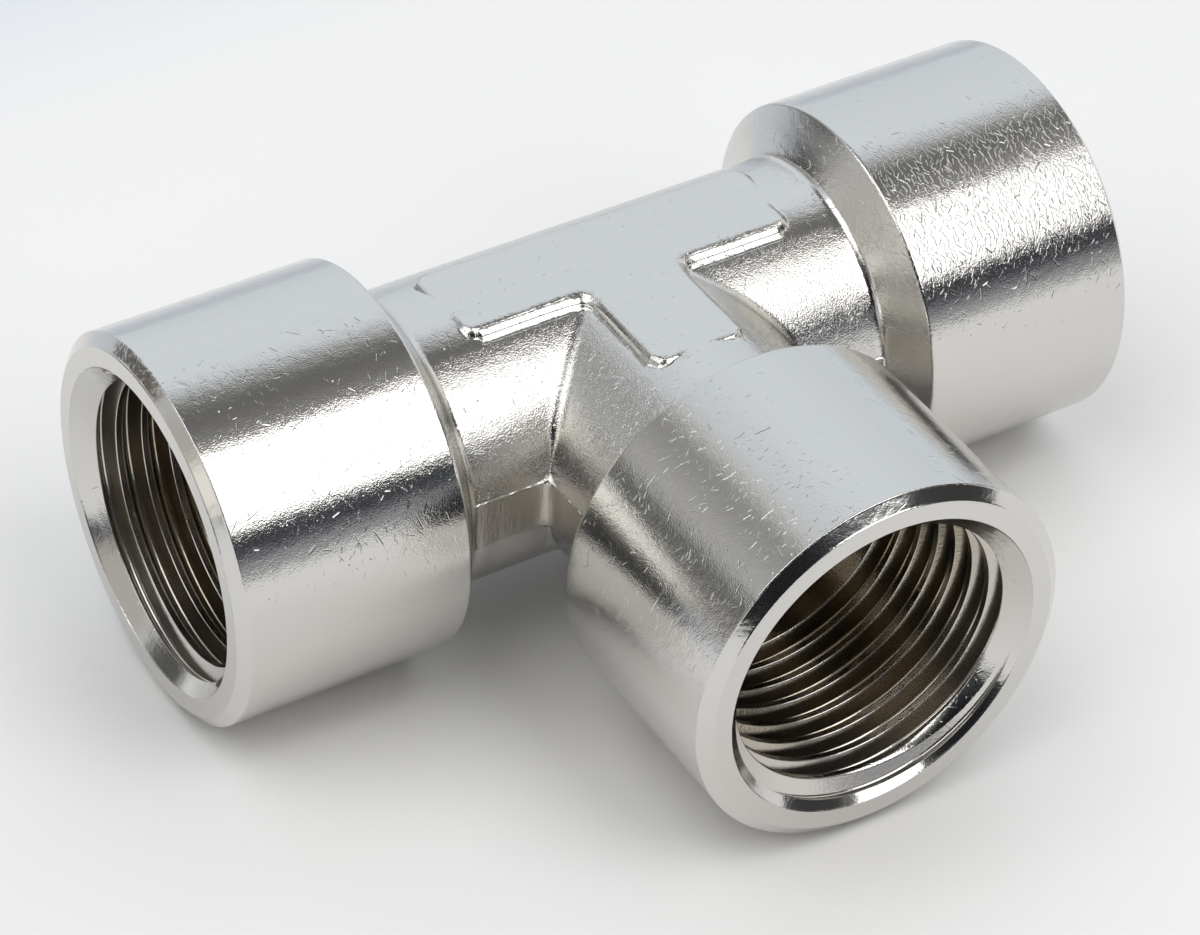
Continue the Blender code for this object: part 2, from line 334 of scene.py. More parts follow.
def neck_rings(arm):
    """Rings from the seams out to the start of the shoulder's cone, settled on the forged middle."""
    hold = 1 if arm == 2 else 0
    start = np.abs(
        np.concatenate([seam_at[SEAMS[arm][0]][:, hold], seam_at[SEAMS[arm][1]][-2:0:-1, hold]])
    )
    rows = [start + (PAD_ROWS_FROM - start) * t for t in shares] + [np.full(RING, a) for a in fixed]
    p = settle(np.stack([place(arm, a, neck_radius(a)) for a in rows]), hold)
    cross = 0 if arm == 2 else 1
    p[:, 0, cross] = p[:, HALF - 1, cross] = 0.0
    n = unit(gradient(p, 4e-3))
    return [closed(seam_ids[SEAMS[arm][0]], seam_ids[SEAMS[arm][1]])] + [skin.add(*pair) for pair in zip(p, n)]


# ---- the socket's outline, from the shoulder's cone to the lead of the thread, with every edge rounded -----------------------
def outline():
    """(distance along the axis, radius, normal along the axis, radial normal) down the socket's outside and in."""
    t = math.tan(SHOULDER_SLOPE)
    corners = [
        (15.577, SOCKET_R - (SHOULDER_AT - 15.577) / t, 0, 0),
        (SHOULDER_AT, SOCKET_R, SHOULDER_ROUND, 5),
        (REACH - EDGE_CHAMFER_AXIAL, SOCKET_R, 0.16, 3),
        (REACH, SOCKET_R - EDGE_CHAMFER_RADIAL, 0.13, 3),
        (REACH, FACE_INNER_R, 0.07, 2),
        (REACH - THREAD_START, FACE_INNER_R - THREAD_START, 0, 0),
    ]
    out = []
    for i, (a, r, radius, steps) in enumerate(corners):
        here = np.array([a, r])
        before = np.array(corners[i - 1][:2]) if i else None
        after = np.array(corners[i + 1][:2]) if i + 1 < len(corners) else None
        if before is None or after is None:
            d = unit((after - here) if before is None else (here - before))
            out.append((a, r, -d[1], d[0]))
            continue
        d0, d1 = unit(here - before), unit(after - here)
        turn = math.atan2(d0[0] * d1[1] - d0[1] * d1[0], d0 @ d1)
        reach = radius * abs(math.tan(turn / 2))
        n0 = np.array([-d0[1], d0[0]])
        centre = here - d0 * reach - n0 * radius * (1 if turn < 0 else -1)
        for k in range(steps + 1):
            b = turn * k / steps
            n = np.array([n0[0] * math.cos(b) - n0[1] * math.sin(b), n0[0] * math.sin(b) + n0[1] * math.cos(b)])
            q = centre + n * radius * (1 if turn < 0 else -1)
            out.append((q[0], q[1], n[0], n[1]))
    # more rings along the barrel and round the broad faces, which keeps the mesh's cells short
    full = [out[0]]
    for one, two in zip(out, out[1:]):
        gap = math.hypot(two[0] - one[0], two[1] - one[1])
        cuts = int(gap // 2.2)
        for k in range(1, cuts + 1):
            s = k / (cuts + 1)
            full.append(tuple(one[j] + (two[j] - one[j]) * s for j in range(4)))
        full.append(two)
    return full[1:]


def base_radius(depth):
    """The countersink and the bore without the thread."""
    return np.maximum(FACE_INNER_R - np.asarray(depth, float), THREAD_CREST_R)


def groove_section(off):
    """Radius of the groove's surface at a distance along the axis from its middle, and the unit normal there."""
    reach = np.abs(off)
    edge = THREAD_ROOT_ROUND * math.cos(THREAD_FLANK)
    rise = np.sqrt(np.maximum(THREAD_ROOT_ROUND**2 - reach**2, 1e-9))
    radius = np.where(reach < edge, THREAD_ROOT_R - THREAD_ROOT_ROUND + rise, THREAD_APEX_R - reach / math.tan(THREAD_FLANK))
    along = np.where(reach < edge, off / THREAD_ROOT_ROUND, np.sign(off) * math.cos(THREAD_FLANK))
    return radius, along, -np.sqrt(1.0 - along**2)


THREAD_START = 0.13                    # depth of the last plain ring, on the countersink
ROWS_PER_TURN = 9


def thread(arm, mouth_ring, start_angle, flip):
    """The helical thread between the ring at its start and the ring that this returns.

    The groove is cut through the countersink and the bore alike, so its first turn runs out in the countersink at
    `start_angle`. Angles run from the bottom of the ring up side 1. A right-hand groove comes nearer the mouth with
    that angle in the right arm and in the branch, and goes deeper with it in the left arm.
    """
    hand = -1 if arm == 0 else 1
    angle = np.where(SIDE > 0, math.pi - PHI, math.pi + PHI)
    angle[0] = math.pi
    angle[HALF - 1] = 0.0
    order = np.argsort((hand * (angle - start_angle)) % (2 * math.pi), kind="stable")
    turn = ((hand * (angle[order] - angle[order[0]])) % (2 * math.pi)) / (2 * math.pi)
    turn = np.append(turn, 1.0)
    order = np.append(order, order[0])
    phi, side = PHI[order], SIDE[order]
    out = 1.0 if arm == 1 else -1.0

    def swing(a, r):
        cross, up = side * r * np.sin(phi), r * np.cos(phi)
        return np.stack([cross, out * a, up] if arm == 2 else [out * a, cross, up], -1)

    slope, soft = 1.0 / math.tan(THREAD_FLANK), 0.045
    half = (THREAD_APEX_R - THREAD_CREST_R) / slope
    over = FACE_INNER_R - THREAD_APEX_R
    rows = TURNS * ROWS_PER_TURN + 1
    grid, facing = np.zeros((rows, RING + 1, 3)), np.zeros((rows, RING + 1, 3))
    for k in range(rows):
        s, lap = k % ROWS_PER_TURN, k // ROWS_PER_TURN
        middle = FIRST_MIDDLE + PITCH * (1.0 + lap - turn)
        # where the groove's two flanks leave the countersink or the bore
        outer = np.maximum(np.maximum((over + middle * slope) / (1 + slope), middle - half), FACE_INNER_R - THREAD_ROOT_R)
        inner = np.minimum((middle * slope - over) / (slope - 1), middle + half)
        lips = {1: outer - soft, 2: outer + 0.6 * soft, 7: inner - 0.6 * soft, 8: inner + soft}
        gap = 0.12 * (lips[7] - lips[2])
        edge = THREAD_ROOT_ROUND * math.cos(THREAD_FLANK)
        row = lips[2]
        for i, off in ((3, -edge), (4, -0.09), (5, 0.09), (6, edge)):
            row = np.clip(middle + off, row + gap, lips[7] - (7 - i) * gap)
            lips[i] = row
        lips[0] = np.maximum(lips[1] - 0.175, THREAD_START + 0.35 * (lips[1] - THREAD_START))
        depth = lips[s]
        base = base_radius(depth)
        if 2 <= s <= 7:
            # the cut fades out over the last turn, down in the bore
            strength = 0.03 + 0.97 * ramp(TURNS - lap - 1.0 + turn, 0.0, 0.8)
            radius, along, inward = groove_section(depth - middle)
            radius = base + np.maximum(radius - base, 0.0) * strength
            along = along * strength
        else:
            radius = base
            along = (base_radius(depth - 0.12) - base_radius(depth + 0.12)) / 0.24
            inward = -1.0 + 0.0 * along
        size = np.hypot(along, inward)
        grid[k] = swing(REACH - depth, radius)
        facing[k] = swing(along / size, inward / size)
    # row k at the end of a lap is row k - ROWS_PER_TURN at its beginning
    ids = np.full((rows, RING + 1), -1, int)
    for k in range(rows):
        ids[k, :RING] = skin.add(grid[k, :RING], facing[k, :RING])
    for k in range(rows):
        if k >= ROWS_PER_TURN:
            ids[k, RING] = ids[k - ROWS_PER_TURN, 0]
        else:
            ids[k, RING] = skin.add([grid[k, RING]], [facing[k, RING]])[0]
    flip = flip if hand > 0 else not flip
    for k in range(rows - 1):
        skin.slot = 1 if 2 <= k % ROWS_PER_TURN <= 6 else 0
        for j in range(RING):
            skin.face([int(ids[k, j]), int(ids[k, j + 1]), int(ids[k + 1, j + 1]), int(ids[k + 1, j])], flip)
    skin.slot = 0
    mouth = [mouth_ring[i] for i in order]
    for j in range(1, RING):
        skin.face([mouth[j], mouth[j + 1], int(ids[0, j + 1]), int(ids[0, j])], flip)
    v = lambda k, j: int(ids[k, j])
    n, lip = RING, ROWS_PER_TURN - 1
    # the cell where the groove begins, and its small end wall
    for tri in (
        (mouth[0], mouth[1], v(0, n)),
        (v(0, n), mouth[1], v(1, n)),
        (v(1, n), mouth[1], v(lip, n)),
        (v(lip, n), mouth[1], v(0, 1)),
        (v(lip, n), v(0, 1), v(0, 0)),
    ):
        skin.face(list(tri), flip)
    for k in range(2, lip):
        skin.face([v(1, n), v(k + 1, n), v(k, n)], flip)
    # the far end, the same way
    skin.slot = 1
    last = rows - 1
    ring = np.ones(RING)
    deep = skin.add(place(arm, REACH - BORE_DEPTH + 0.25, THREAD_CREST_R), place(arm, 0 * ring, -ring))
    far = [deep[i] for i in order]
    for j in range(RING - 1):
        skin.face([v(last, j), v(last, j + 1), far[j + 1], far[j]], flip)
    for tri in (
        (far[n], far[n - 1], v(last, 0)),
        (v(last, 0), far[n - 1], v(last - 1, 0)),
        (v(last - 1, 0), far[n - 1], v(last - lip, 0)),
        (v(last - lip, 0), far[n - 1], v(last, n - 1)),
        (v(last - lip, 0), v(last, n - 1), v(last, n)),
    ):
        skin.face(list(tri), flip)
    for k in range(last - lip + 1, last - 1):
        skin.face([v(last - lip, 0), v(k, 0), v(k + 1, 0)], flip)
    return deep


# ---- put the body together --------------------------------------------------------------------------------------------------
profile = outline()
way_seams = {}
skin.slot = 1
way_top, way_bottom = skin.add([[0, 0, WAY_R], [0, 0, -WAY_R]])
for kind in ("left", "right", "back"):
    way_seams[kind] = [way_top] + skin.add(seam_points(kind, WAY_R)[1:-1]) + [way_bottom]

for arm in range(3):
    flip = arm == 0
    skin.slot = 0
    rings = neck_rings(arm)
    for a, r, na, nr in profile:
        rings.append(skin.add(place(arm, a, r), arm_normals(arm, na, nr)))
    for one, two in zip(rings, rings[1:]):
        skin.bridge(one, two, flip)
    deep = thread(arm, rings[-1], math.radians({0: 147.0, 1: 40.0, 2: 70.0}[arm]), flip)
    rings = [deep]
    for a, r in (
        (REACH - BORE_DEPTH, THREAD_CREST_R),
        (REACH - BORE_DEPTH - (THREAD_CREST_R - WAY_R) / math.tan(DRILL_HALF_ANGLE), WAY_R),
        (13.0, WAY_R),
        (10.4, WAY_R),
    ):
        rings.append(skin.add(place(arm, a, r)))
    rings.append(closed(way_seams[SEAMS[arm][0]], way_seams[SEAMS[arm][1]]))
    for one, two in zip(rings, rings[1:]):
        skin.bridge(one, two, flip)

points = (np.array(skin.points) + CENTRE) / 1000.0
mesh = bpy.data.meshes.new("tee_body_finished")
mesh.from_pydata(points.tolist(), [], skin.faces)
mesh.update()
mesh.polygons.foreach_set("material_index", np.array(skin.slots, np.int32))
mesh.shade_smooth()
mesh.set_sharp_from_angle(angle=math.radians(42))
known = np.array(skin.normals)
corner_vertex = np.zeros(len(mesh.loops), np.int32)
mesh.loops.foreach_get("vertex_index", corner_vertex)
loop_normals = known[corner_vertex]
mesh.normals_split_custom_set(loop_normals.tolist())
tee = bpy.data.objects.new("tee_connector", mesh)
bpy.context.scene.collection.objects.link(tee)


# ---- nickel plate -----------------------------------------------------------------------------------------------------------
def node(tree, kind, inputs=None, **settings):
    n = tree.nodes.new(kind)
    for k, v in settings.items():
        setattr(n, k, v)
    for k, v in (inputs or {}).items():
        if isinstance(v, bpy.types.NodeSocket):
            tree.links.new(v, n.inputs[k])
        else:
            n.inputs[k].default_value = v
    return n


def math_node(tree, operation, a, b=None, c=None, clamp=False):
    n = tree.nodes.new("ShaderNodeMath")
    n.operation = operation
    n.use_clamp = clamp
    for k, v in enumerate((a, b, c)):
        if v is None:
            continue
        if isinstance(v, bpy.types.NodeSocket):
            tree.links.new(v, n.inputs[k])
        else:
            n.inputs[k].default_value = v
    return n.outputs[0]


def vector_node(tree, operation, a, b=None, out=0):
    n = tree.nodes.new("ShaderNodeVectorMath")
    n.operation = operation
    for k, v in enumerate((a, b)):
        if v is None:
            continue
        if isinstance(v, bpy.types.NodeSocket):
            tree.links.new(v, n.inputs[k])
        else:
            n.inputs[k].default_value = v
    return n.outputs[out]


def step(tree, value, low, high):
    n = node(tree, "ShaderNodeMapRange", {"Value": value, "From Min": low, "From Max": high}, interpolation_type="SMOOTHSTEP")
    return n.outputs["Result"]


def scratches(tree, place_mm, around, cell, length, width, spread, seed):
    """Short nicks: in each cell of a scattered pattern, one thin slab roughly square to an arm's axis, cut off at a length."""
    shifted = vector_node(tree, "ADD", place_mm, (seed * 7.3, seed * 3.1, seed * 5.7))
    cells = node(tree, "ShaderNodeTexVoronoi", {"Vector": shifted, "Scale": 1.0 / cell, "Randomness": 1.0}, feature="F1")
    local = vector_node(tree, "SUBTRACT", shifted, cells.outputs["Position"])
    lean = vector_node(tree, "SUBTRACT", cells.outputs["Color"], (0.5, 0.5, 0.5))
    lean = vector_node(tree, "SCALE", lean)
    lean.node.inputs["Scale"].default_value = spread
    lean = vector_node(tree, "NORMALIZE", vector_node(tree, "ADD", lean, around))
    along = vector_node(tree, "DOT_PRODUCT", local, lean, out=1)
    far = vector_node(tree, "LENGTH", local, out=1)
    curve = math_node(tree, "MULTIPLY", math_node(tree, "MULTIPLY", far, far), 0.07)
    off = math_node(tree, "ABSOLUTE", math_node(tree, "ADD", along, curve))
    line = math_node(tree, "SUBTRACT", 1.0, step(tree, off, 0.0, width))
    ends = math_node(tree, "SUBTRACT", 1.0, step(tree, far, length * 0.25, length * 0.5))
    return math_node(tree, "MULTIPLY", line, ends)


def metal(name, colour, roughness):
    m = bpy.data.materials.new(name)
    m.use_nodes = True
    shader = m.node_tree.nodes["Principled BSDF"]
    shader.inputs["Base Color"].default_value = (*colour, 1.0)
    shader.inputs["Metallic"].default_value = 1.0
    shader.inputs["Roughness"].default_value = roughness
    where = node(m.node_tree, "ShaderNodeTexCoord").outputs["Object"]
    mm = vector_node(m.node_tree, "SCALE", where)
    mm.node.inputs["Scale"].default_value = 1000.0
    return m, shader, mm


def nickel():
    """The plate outside: tumbled barrels with nicks, burred edges, and the forged middle with a coarser skin."""
    m, shader, mm = metal("nickel_plate_finish", (0.66, 0.645, 0.615), 0.12)
    t = m.node_tree

    def weigh(value, weight):
        return math_node(t, "MULTIPLY", value, weight)

    def bell(value, centre, half):
        """One at the centre, and zero from `half` away."""
        return math_node(t, "SUBTRACT", 1.0, step(t, math_node(t, "ABSOLUTE", math_node(t, "SUBTRACT", value, centre)), 0.0, half))

    # the larger distance along either arm decides between the machined barrels and the forged middle
    from_middle = vector_node(t, "SUBTRACT", mm, tuple(CENTRE))
    split = node(t, "ShaderNodeSeparateXYZ", {"Vector": from_middle})
    x, y, z = split.outputs["X"], split.outputs["Y"], split.outputs["Z"]
    far_x, far_y = math_node(t, "ABSOLUTE", x), weigh(y, -1.0)
    reach = math_node(t, "MAXIMUM", far_x, far_y)
    in_branch = step(t, math_node(t, "SUBTRACT", far_y, far_x), -0.05, 0.05)
    in_run = math_node(t, "SUBTRACT", 1.0, in_branch)
    around = node(t, "ShaderNodeCombineXYZ", {"X": in_run, "Y": in_branch}).outputs["Vector"]
    cross = math_node(t, "ADD", weigh(in_branch, x), weigh(in_run, y))
    radius = math_node(t, "SQRT", math_node(t, "ADD", weigh(cross, cross), weigh(z, z)))
    barrel = step(t, reach, 15.2, 17.4)
    forged = math_node(t, "SUBTRACT", 1.0, barrel)
    right = step(t, x, 15.0, 19.0)
    mouth = step(t, reach, 32.2, 32.4)
    height_z = math_node(t, "ABSOLUTE", z)
    trimmed = weigh(math_node(t, "SUBTRACT", 1.0, step(t, height_z, 1.66, 1.84)), math_node(t, "SUBTRACT", 1.0, step(t, reach, 15.0, 15.6)))

    # the left mouth's chamfer is torn at the top
    turn = math_node(t, "ARCTAN2", far_y, z)
    torn = weigh(bell(turn, -0.06, 0.36), weigh(step(t, weigh(x, -1.0), 32.25, 32.4), step(t, radius, 12.18, 12.3)))
    blotch = node(t, "ShaderNodeTexNoise", {"Vector": mm, "Scale": 1.9, "Detail": 3.0, "Roughness": 0.6}).outputs["Fac"]
    torn_brown = weigh(step(t, torn, 0.05, 0.5), step(t, blotch, 0.44, 0.56))

    # the trimmed flash line is mixed darker and browner: partly the sheared skin's own thin plate, partly painted
    # shade; the torn chamfer is thinly plated
    trim_tone_and_shade = node(t, "ShaderNodeMix", data_type="RGBA")
    t.links.new(trimmed, trim_tone_and_shade.inputs["Factor"])
    trim_tone_and_shade.inputs["A"].default_value = (0.66, 0.645, 0.615, 1.0)
    trim_tone_and_shade.inputs["B"].default_value = (0.56, 0.525, 0.465, 1.0)
    brown = node(t, "ShaderNodeMix", data_type="RGBA")
    t.links.new(torn_brown, brown.inputs["Factor"])
    t.links.new(trim_tone_and_shade.outputs["Result"], brown.inputs["A"])
    brown.inputs["B"].default_value = (0.30, 0.26, 0.215, 1.0)
    t.links.new(brown.outputs["Result"], shader.inputs["Base Color"])
    rough = math_node(t, "ADD", weigh(trimmed, 0.16), weigh(torn_brown, 0.2))
    shoulder = weigh(bell(reach, 16.5, 1.1), step(t, radius, 10.0, 10.5))
    rough = math_node(t, "ADD", rough, weigh(shoulder, 0.13))
    t.links.new(math_node(t, "ADD", 0.12, rough), shader.inputs["Roughness"])

    peel = node(t, "ShaderNodeTexNoise", {"Vector": mm, "Scale": 1.5, "Detail": 2.0, "Roughness": 0.5}).outputs["Fac"]
    grain = node(t, "ShaderNodeTexNoise", {"Vector": mm, "Scale": 10.0, "Detail": 1.0, "Roughness": 0.5}).outputs["Fac"]
    worn = node(t, "ShaderNodeTexNoise", {"Vector": mm, "Scale": 0.28, "Detail": 2.0}).outputs["Fac"]
    patch = step(t, worn, 0.42, 0.58)
    long_nicks = scratches(t, mm, around, 2.4, 1.5, 0.062, 2.4, 1.0)
    nicks = scratches(t, mm, around, 1.1, 0.75, 0.060, 2.0, 2.0)
    more = scratches(t, mm, around, 0.62, 0.52, 0.052, 1.8, 3.0)
    fine = scratches(t, mm, around, 0.42, 0.90, 0.042, 1.5, 5.0)
    # small round pits
    pit_cells = node(t, "ShaderNodeTexVoronoi", {"Vector": vector_node(t, "ADD", mm, (3.3, 1.7, 9.1)), "Scale": 1.0 / 0.8, "Randomness": 1.0}, feature="F1")
    pits = math_node(t, "SUBTRACT", 1.0, step(t, pit_cells.outputs["Distance"], 0.02, 0.11))
    # shear marks down the trimmed wall
    shear = node(t, "ShaderNodeCombineXYZ", {"X": x, "Y": y, "Z": weigh(z, 0.12)}).outputs["Vector"]
    shear = node(t, "ShaderNodeTexNoise", {"Vector": shear, "Scale": 4.2, "Detail": 2.0}).outputs["Fac"]
    # torn edges round the mouths: the barrel's chamfer, the end face's rim and the countersink's rim
    rims = math_node(t, "MAXIMUM", weigh(bell(radius, 12.14, 0.10), mouth), weigh(bell(radius, 10.88, 0.10), mouth))
    rims = math_node(t, "MAXIMUM", rims, weigh(bell(reach, 32.35, 0.085), step(t, radius, 12.5, 12.7)))
    burr = node(t, "ShaderNodeTexNoise", {"Vector": mm, "Scale": 5.5, "Detail": 2.0, "Roughness": 0.6}).outputs["Fac"]

    # the die's edges: a ragged upper edge round the pads and a fine step down their walls
    on_pads = math_node(t, "SUBTRACT", 1.0, step(t, reach, 11.7, 12.1))
    ragged = weigh(bell(height_z, 9.80, 0.09), on_pads)
    die_step = weigh(bell(height_z, 9.37, 0.055), on_pads)
    pad_clean = math_node(t, "SUBTRACT", 1.0, weigh(step(t, height_z, 8.95, 9.15), 0.8))
    pad_clean = weigh(pad_clean, math_node(t, "SUBTRACT", 1.0, step(t, reach, 14.4, 15.4)))

    # the cut faces round the mouths are cleaner than the rest
    calm = math_node(t, "SUBTRACT", 1.0, weigh(step(t, reach, 32.25, 32.45), 0.8))
    crowded = math_node(t, "MAXIMUM", patch, weigh(in_branch, bell(x, -5.5, 4.5)))

    # heights in micrometres
    height = weigh(grain, math_node(t, "ADD", 8.5, weigh(weigh(forged, pad_clean), 16.0)))
    for mark, deep in ((long_nicks, 9.0), (nicks, 8.5)):
        height = math_node(t, "SUBTRACT", height, weigh(mark, math_node(t, "ADD", deep, weigh(right, 6.0))))
    height = math_node(t, "SUBTRACT", height, weigh(pits, math_node(t, "ADD", 14.0, weigh(forged, 8.0))))
    height = math_node(t, "SUBTRACT", height, weigh(weigh(more, crowded), 8.0))
    height = math_node(t, "SUBTRACT", height, weigh(weigh(fine, weigh(right, bell(turn, 0.62, 0.62))), 20.0))
    height = weigh(height, calm)
    height = math_node(t, "ADD", height, weigh(peel, math_node(t, "ADD", 13.0, weigh(forged, 9.0))))
    height = math_node(t, "ADD", height, weigh(weigh(burr, ragged), 40.0))
    height = math_node(t, "SUBTRACT", height, weigh(die_step, 14.0))
    height = math_node(t, "ADD", height, weigh(weigh(shear, trimmed), 30.0))
    height = math_node(t, "ADD", height, weigh(weigh(burr, rims), 26.0))
    height = math_node(t, "ADD", height, weigh(weigh(blotch, torn), 90.0))
    bump = node(t, "ShaderNodeBump", {"Height": height, "Strength": 1.0, "Distance": 1e-6})
    t.links.new(bump.outputs["Normal"], shader.inputs["Normal"])
    return m


def bore_plate():
    """The plate down in the thread and the ways: thinner the deeper it lies, where the brass makes it brown."""
    m, shader, mm = metal("nickel_plate_thin", (0.44, 0.39, 0.32), 0.18)
    t = m.node_tree
    from_middle = vector_node(t, "SUBTRACT", mm, tuple(CENTRE))
    split = node(t, "ShaderNodeSeparateXYZ", {"Vector": from_middle})
    x, y, z = split.outputs["X"], split.outputs["Y"], split.outputs["Z"]
    reach = math_node(t, "MAXIMUM", math_node(t, "ABSOLUTE", x), math_node(t, "MULTIPLY", y, -1.0))
    colour = node(t, "ShaderNodeMix", data_type="RGBA")
    t.links.new(step(t, reach, 26.0, 32.2), colour.inputs["Factor"])
    colour.inputs["A"].default_value = (0.52, 0.46, 0.37, 1.0)
    colour.inputs["B"].default_value = (0.66, 0.635, 0.60, 1.0)
    t.links.new(colour.outputs["Result"], shader.inputs["Base Color"])
    # the tap's chatter: fine marks that cross the groove
    in_branch = step(t, math_node(t, "ADD", math_node(t, "ABSOLUTE", x), y), 0.05, -0.05)
    across = node(t, "ShaderNodeMix", data_type="FLOAT")
    t.links.new(in_branch, across.inputs["Factor"])
    t.links.new(y, across.inputs["A"])
    t.links.new(x, across.inputs["B"])
    turn = math_node(t, "ARCTAN2", across.outputs["Result"], z)
    marks = node(t, "ShaderNodeCombineXYZ", {"X": math_node(t, "MULTIPLY", turn, 10.0), "Y": math_node(t, "MULTIPLY", reach, 0.35)})
    chatter = node(t, "ShaderNodeTexNoise", {"Vector": marks.outputs["Vector"], "Scale": 5.0, "Detail": 1.0}).outputs["Fac"]
    grain = node(t, "ShaderNodeTexNoise", {"Vector": mm, "Scale": 5.0, "Detail": 2.0, "Roughness": 0.5}).outputs["Fac"]
    height = math_node(t, "ADD", math_node(t, "MULTIPLY", grain, 6.0), math_node(t, "MULTIPLY", chatter, 6.0))
    bump = node(t, "ShaderNodeBump", {"Height": height, "Strength": 1.0, "Distance": 1e-6})
    t.links.new(bump.outputs["Normal"], shader.inputs["Normal"])
    return m


mesh.materials.append(nickel())
mesh.materials.append(bore_plate())
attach(tee, "root")
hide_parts("tee_body")

# ---- studio -----------------------------------------------------------------------------------------------------------------
floor_mesh = bpy.data.meshes.new("studio_floor")
floor_mesh.from_pydata([(-2.5, -2.5, 0), (2.5, -2.5, 0), (2.5, 2.5, 0), (-2.5, 2.5, 0)], [], [(0, 1, 2, 3)])
floor = bpy.data.objects.new("studio_floor", floor_mesh)
floor.location.z = -0.0002
bpy.context.scene.collection.objects.link(floor)
paper = bpy.data.materials.new("studio_paper")
paper.use_nodes = True
paper.node_tree.nodes["Principled BSDF"].inputs["Base Color"].default_value = (0.86, 0.855, 0.85, 1.0)
paper.node_tree.nodes["Principled BSDF"].inputs["Roughness"].default_value = 0.9
paper.node_tree.nodes["Principled BSDF"].inputs["Specular IOR Level"].default_value = 0.0
paper.node_tree.nodes["Principled BSDF"].inputs["Emission Color"].default_value = (1.0, 0.995, 0.985, 1.0)
paper.node_tree.nodes["Principled BSDF"].inputs["Emission Strength"].default_value = 0.0
pt = paper.node_tree
back_part = step(pt, node(pt, "ShaderNodeSeparateXYZ", {"Vector": node(pt, "ShaderNodeTexCoord").outputs["Object"]}).outputs["Y"], 0.068, 0.098)
sweep = node(pt, "ShaderNodeMix", data_type="RGBA")
pt.links.new(back_part, sweep.inputs["Factor"])
sweep.inputs["A"].default_value = (0.86, 0.855, 0.85, 1.0)
sweep.inputs["B"].default_value = (0.72, 0.765, 0.825, 1.0)
pt.links.new(sweep.outputs["Result"], pt.nodes["Principled BSDF"].inputs["Base Color"])
floor_mesh.materials.append(paper)
floor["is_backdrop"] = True

world = bpy.data.worlds.new("studio")
bpy.context.scene.world = world
world.use_nodes = True
w = world.node_tree
w.nodes.clear()


def linear(level):
    c = level / 255.0
    return c / 12.92 if c <= 0.04045 else ((c + 0.055) / 1.055) ** 2.4


def colour_ramp(tree, factor, stops):
    """stops: (degrees, brightness as the metal shows it 0..255, red share, blue share)."""
    n = node(tree, "ShaderNodeValToRGB", {"Fac": factor})
    n.color_ramp.interpolation = "LINEAR"
    elements = n.color_ramp.elements
    while len(elements) > 1:
        elements.remove(elements[-1])
    for i, (degrees, level, red, blue) in enumerate(stops):
        e = elements[0] if i == 0 else elements.new(min(1.0, degrees / 360.0 + 0.5))
        e.position = degrees / 360.0 + 0.5
        v = linear(level) / 0.64
        e.color = (v * red, v, v * blue, 1.0)
    return n.outputs["Color"]


whole = node(w, "ShaderNodeTexCoord").outputs["Generated"]
look = node(w, "ShaderNodeSeparateXYZ", {"Vector": whole})
lx, ly, lz = look.outputs["X"], look.outputs["Y"], look.outputs["Z"]
turn_run = math_node(w, "ARCTAN2", math_node(w, "MULTIPLY", ly, -1.0), lz)
turn_branch = math_node(w, "ARCTAN2", lx, lz)
as_share = lambda v: math_node(w, "ADD", math_node(w, "DIVIDE", v, 2 * math.pi), 0.5)
cool, navy, warm = (0.93, 1.085), (0.90, 1.25), (1.02, 0.95)
front = colour_ramp(
    w,
    as_share(turn_run),
    [
        (-180, 150, *warm), (-100, 185, *warm), (-92, 201, *cool), (-65, 207, *cool), (-35, 209, *cool), (-23, 200, *cool),
        (-17.5, 163, 1, 1), (-13, 116, 1, 1), (-8, 92, 1, 1), (2, 98, 1, 1), (10, 118, 1, 1), (16, 118, 1, 1), (56, 80, 1, 1),
        (62, 49, *navy), (75, 47, *navy), (79, 108, 0.95, 1.12), (84, 138, 0.97, 1.06), (92, 152, 1, 1), (180, 150, *warm),
    ],
)
rear = colour_ramp(
    w,
    as_share(turn_branch),
    [
        (-180, 150, *warm), (-95, 165, *warm), (-86, 178, *warm), (-76, 172, *warm), (-70, 98, *warm), (-65, 96, 1, 1),
        (-58, 162, 1, 1), (-48, 152, 1, 1), (-37, 135, 1, 1), (-27, 126, 1, 1), (-18, 177, 1, 1), (-8, 195, *cool),
        (12, 204, *cool), (32, 206, *cool), (50, 202, *cool), (64, 198, *cool), (76, 196, *cool), (86, 198, 0.91, 1.10), (94, 180, 1, 1), (180, 150, *warm),
    ],
)
background = node(
    w,
    "ShaderNodeMix",
    data_type="RGBA",
)
w.links.new(step(w, ly, 0.38, 0.60), background.inputs["Factor"])
w.links.new(front, background.inputs["A"])
w.links.new(rear, background.inputs["B"])


def patch_of_sky(colour_below, direction, inner, outer, level, red=1.0, blue=1.0):
    """A soft round patch of another brightness round a direction; inner and outer are in degrees."""
    c = Vector(direction).normalized()
    dot = vector_node(w, "DOT_PRODUCT", whole, tuple(c), out=1)
    mask = step(w, dot, math.cos(math.radians(outer)), math.cos(math.radians(inner)))
    mix = node(w, "ShaderNodeMix", data_type="RGBA")
    w.links.new(mask, mix.inputs["Factor"])
    w.links.new(colour_below, mix.inputs["A"])
    v = linear(level) / 0.64
    mix.inputs["B"].default_value = (v * red, v, v * blue, 1.0)
    return mix.outputs["Result"]


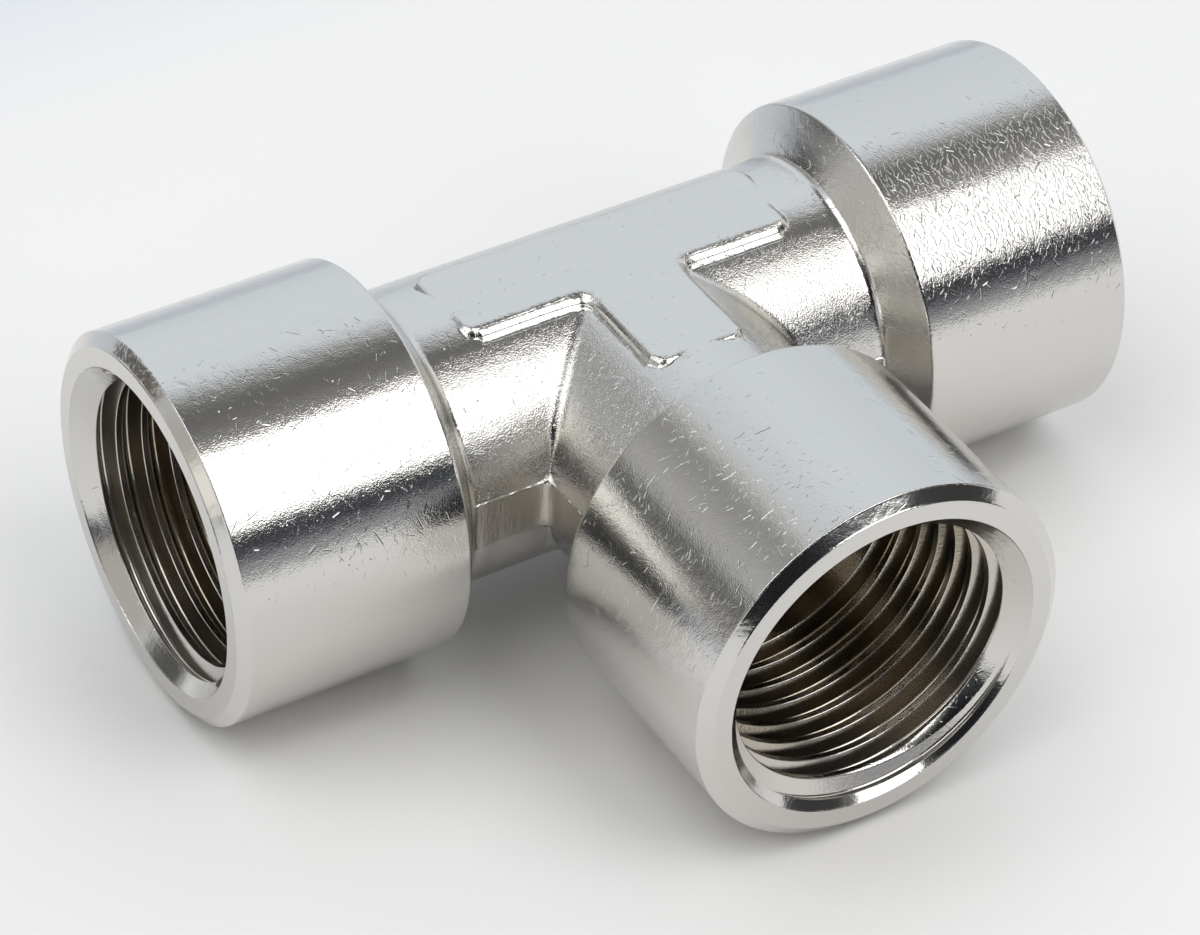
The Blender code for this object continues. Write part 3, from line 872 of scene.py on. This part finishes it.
colour = background.outputs["Result"]
colour = patch_of_sky(colour, (0.96, -0.02, 0.33), 12, 27, 156)
colour = patch_of_sky(colour, (0.86, -0.48, 0.20), 13, 25, 52, 1.0, 1.02)
colour = patch_of_sky(colour, (-0.45, -0.86, 0.24), 21, 36, 28, 0.95, 1.15)
colour = patch_of_sky(colour, (-0.76, -0.62, 0.22), 6, 13, 58, 0.95, 1.10)
colour = patch_of_sky(colour, (-0.93, 0.12, 0.30), 14, 30, 160, *warm)
colour = patch_of_sky(colour, (-0.99, 0.07, 0.07), 5, 11, 218, 1.02, 0.95)
colour = patch_of_sky(colour, (0.80, -0.04, 0.60), 8, 21, 215, 1.02, 0.95)
colour = patch_of_sky(colour, (-0.62, 0.76, 0.14), 8, 18, 78, 1.0, 1.0)
colour = patch_of_sky(colour, (0.0, 0.22, 0.975), 13, 23, 95)
out = node(w, "ShaderNodeOutputWorld")
sky = node(w, "ShaderNodeBackground", {"Color": colour, "Strength": 1.0})
w.links.new(sky.outputs[0], out.inputs["Surface"])


def softbox(name, facing, across, aside, below, width, height, distance, radiance):
    """A rectangular softbox square to `facing`; its offsets and sizes are shares of the distance."""
    z = Vector(facing).normalized()
    x = (Vector(across) - z * z.dot(Vector(across))).normalized()
    y = z.cross(x)
    light = bpy.data.lights.new(name, "AREA")
    light.shape = "RECTANGLE"
    light.size, light.size_y = width * distance, height * distance
    light.energy = radiance * math.pi * light.size * light.size_y
    obj = bpy.data.objects.new(name, light)
    centre = (z + x * aside - y * below) * distance + Vector(CENTRE / 1000)
    obj.matrix_world = Matrix.Translation(centre) @ Matrix((x, y, z)).transposed().to_4x4()
    bpy.context.scene.collection.objects.link(obj)
    return obj


softbox("key_softbox", (0.0, -0.65, 0.76), (1, 0, 0), 0.33, -0.02, 0.68, 0.79, 0.85, 2.6)
overhead = softbox("overhead_fill", (0, 0, 1), (1, 0, 0), 0.0, 0.0, 1.1, 1.1, 1.6, 0.68)
overhead.visible_glossy = False
softbox("side_softbox", (-0.53, 0.0, 0.848), (0, 1, 0), -0.05, 0.0, 0.78, 0.80, 0.85, 1.5)

# ---- camera -----------------------------------------------------------------------------------------------------------------
UNIT = 13.0
azimuth, elevation, roll = math.radians(-31.9685), math.radians(39.8162), math.radians(1.547)
distance = 21.9775 * UNIT
px, py, focal = 602.3176, 370.1997, 4391.866
back = Vector((math.sin(azimuth) * math.cos(elevation), -math.cos(azimuth) * math.cos(elevation), math.sin(elevation)))
x = Vector((0, 0, 1)).cross(back).normalized()
y = back.cross(x)
right_axis = math.cos(roll) * x + math.sin(roll) * y
up_axis = -math.sin(roll) * x + math.cos(roll) * y
seen = Vector(((px - 600.0) / focal * distance, -(py - 467.5) / focal * distance, -distance))
at = -(right_axis * seen.x + up_axis * seen.y + back * seen.z)
data = bpy.data.cameras.new("camera")
data.sensor_width = 36.0
data.lens = focal / 1200.0 * 36.0
data.clip_start = 0.01
camera = bpy.data.objects.new("camera", data)
camera.matrix_world = Matrix.Translation((at + Vector(CENTRE)) / 1000.0) @ Matrix((right_axis, up_axis, back)).transposed().to_4x4()
bpy.context.scene.collection.objects.link(camera)
bpy.context.scene.camera = camera
bpy.context.scene.view_settings.view_transform = "Standard"

{"cad": cad_box, "visual": [list(v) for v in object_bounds()]}
